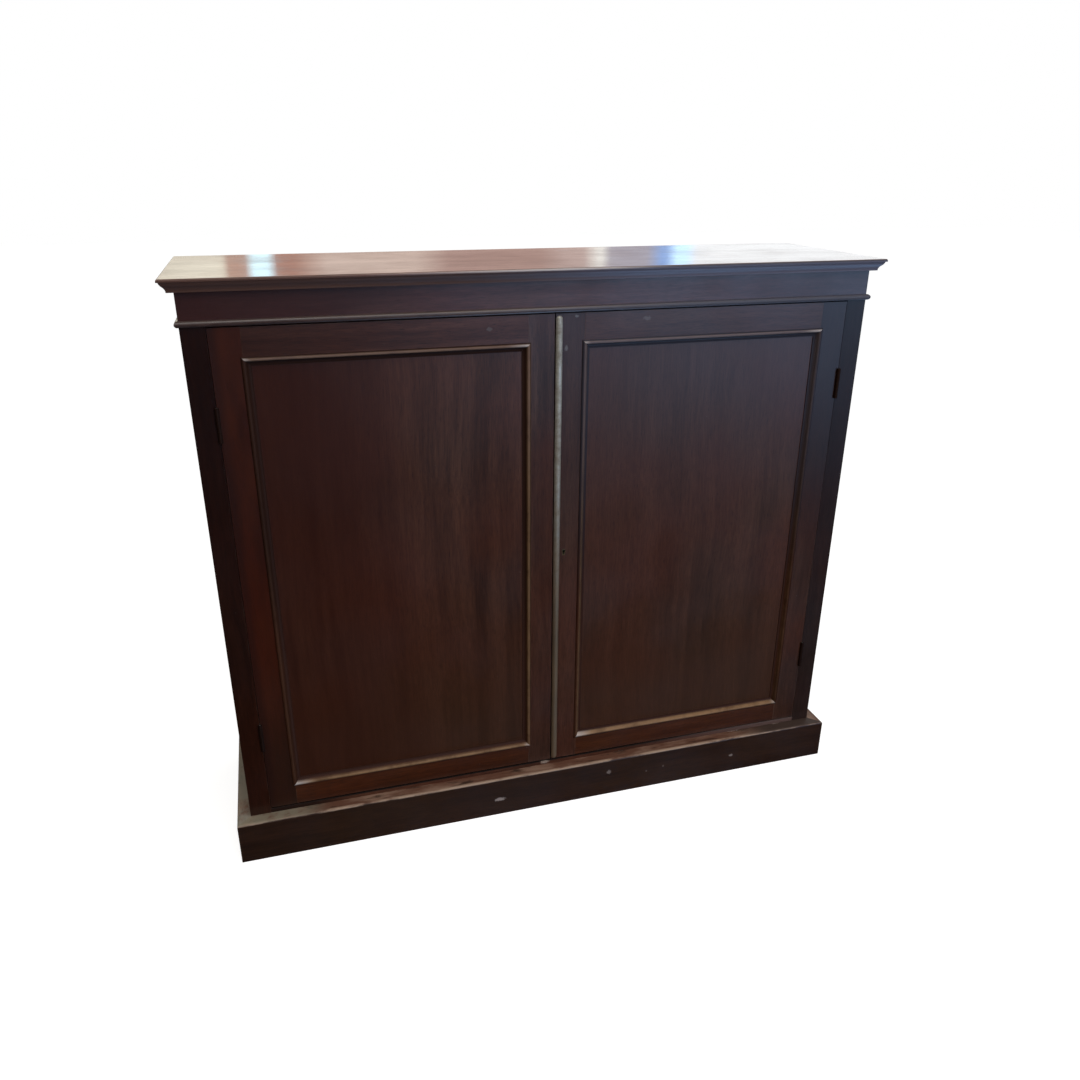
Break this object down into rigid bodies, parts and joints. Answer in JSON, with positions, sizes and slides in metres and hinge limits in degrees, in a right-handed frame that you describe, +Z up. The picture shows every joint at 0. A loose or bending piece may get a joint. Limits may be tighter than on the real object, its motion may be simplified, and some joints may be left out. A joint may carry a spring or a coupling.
{
  "type": "side cabinet",
  "caption": "Low mahogany side cabinet with a moulded top, a plinth and a pair of framed, panelled doors that close on a brass meeting strip, with fixed shelves inside.",
  "frame": {"origin": "on the floor, at the middle of the cabinet's plan", "axes": "+X to the right seen from the front, +Y from the doors towards the back, +Z up"},
  "size_m": [1.25, 0.351, 1.078],
  "materials": {
    "mahogany": "old dark red-brown mahogany, French polished, glossy, worn pale on arrises",
    "inside_wood": "aged, unpolished pine with a brown stain",
    "aged_brass": "tarnished brass, satin, darker in the corners",
    "strip_brass": "dull grey-green tarnished brass, rubbed along the crest",
    "lock_iron": "dark wrought iron with a brown patina",
    "fixing_steel": "dull steel screws, nails and pins"
  },
  "bodies": {
    "cabinet": {"top_board": "mahogany", "frieze_rail": "mahogany", "astragal_front": "mahogany", "astragal_left": "mahogany", "astragal_right": "mahogany", "left_side": "mahogany", "right_side": "mahogany", "left_front_stile": "mahogany", "right_front_stile": "mahogany", "bottom_board": "mahogany", "lower_shelf": "inside_wood", "upper_shelf": "inside_wood", "top_front_rail": "inside_wood", "top_back_rail": "inside_wood", "back_boards": "inside_wood", "plinth_front": "mahogany", "plinth_left": "mahogany", "plinth_right": "mahogany", "plinth_glue_blocks": "inside_wood", "top_glue_blocks": "inside_wood", "top_screws": "fixing_steel", "back_board_nails": "fixing_steel", "door_stop": "inside_wood", "left_upper_frame_leaf": "aged_brass", "left_lower_frame_leaf": "aged_brass", "right_upper_frame_leaf": "aged_brass", "right_lower_frame_leaf": "aged_brass", "hinge_pins": "fixing_steel", "carcase_fitting_screws": "fixing_steel", "top_bolt_keeper": "aged_brass", "bottom_bolt_keeper": "aged_brass"},
    "left_door": {"left_door_hinge_stile": "mahogany", "left_door_meeting_stile": "mahogany", "left_door_top_rail": "mahogany", "left_door_bottom_rail": "mahogany", "left_door_panel": "mahogany", "left_door_beading": "mahogany", "left_door_upper_leaf": "aged_brass", "left_door_lower_leaf": "aged_brass", "left_door_screws": "fixing_steel", "lock_strike_plate": "aged_brass", "top_bolt_plate": "aged_brass", "bottom_bolt_plate": "aged_brass"},
    "right_door": {"right_door_hinge_stile": "mahogany", "right_door_meeting_stile": "mahogany", "right_door_top_rail": "mahogany", "right_door_bottom_rail": "mahogany", "right_door_panel": "mahogany", "right_door_beading": "mahogany", "right_door_upper_leaf": "aged_brass", "right_door_lower_leaf": "aged_brass", "right_door_screws": "fixing_steel", "brass_meeting_strip": "strip_brass", "strip_pins": "strip_brass", "keyhole_escutcheon": "aged_brass", "lock_case": "lock_iron", "lock_cap": "lock_iron"},
    "top_bolt": {"top_bolt": "aged_brass"},
    "bottom_bolt": {"bottom_bolt": "aged_brass"},
    "lock_bolt": {"lock_bolt": "lock_iron"}
  },
  "joints": [
    {"name": "left_door_hinge", "type": "hinge", "parent": "cabinet", "child": "left_door", "pos_m": [-0.5616, -0.1525, 0], "axis": [0, 0, -1], "range_deg": [0, 170]},
    {"name": "right_door_hinge", "type": "hinge", "parent": "cabinet", "child": "right_door", "pos_m": [0.5616, -0.1525, 0], "axis": [0, 0, 1], "range_deg": [0, 170]},
    {"name": "lock_bolt_slide", "type": "slide", "parent": "right_door", "child": "lock_bolt", "axis": [-1, 0, 0], "range_m": [0, 0.008]},
    {"name": "top_bolt_slide", "type": "slide", "parent": "left_door", "child": "top_bolt", "axis": [0, 0, 1], "range_m": [0, 0.012]},
    {"name": "bottom_bolt_slide", "type": "slide", "parent": "left_door", "child": "bottom_bolt", "axis": [0, 0, -1], "range_m": [0, 0.012]}
  ]
}
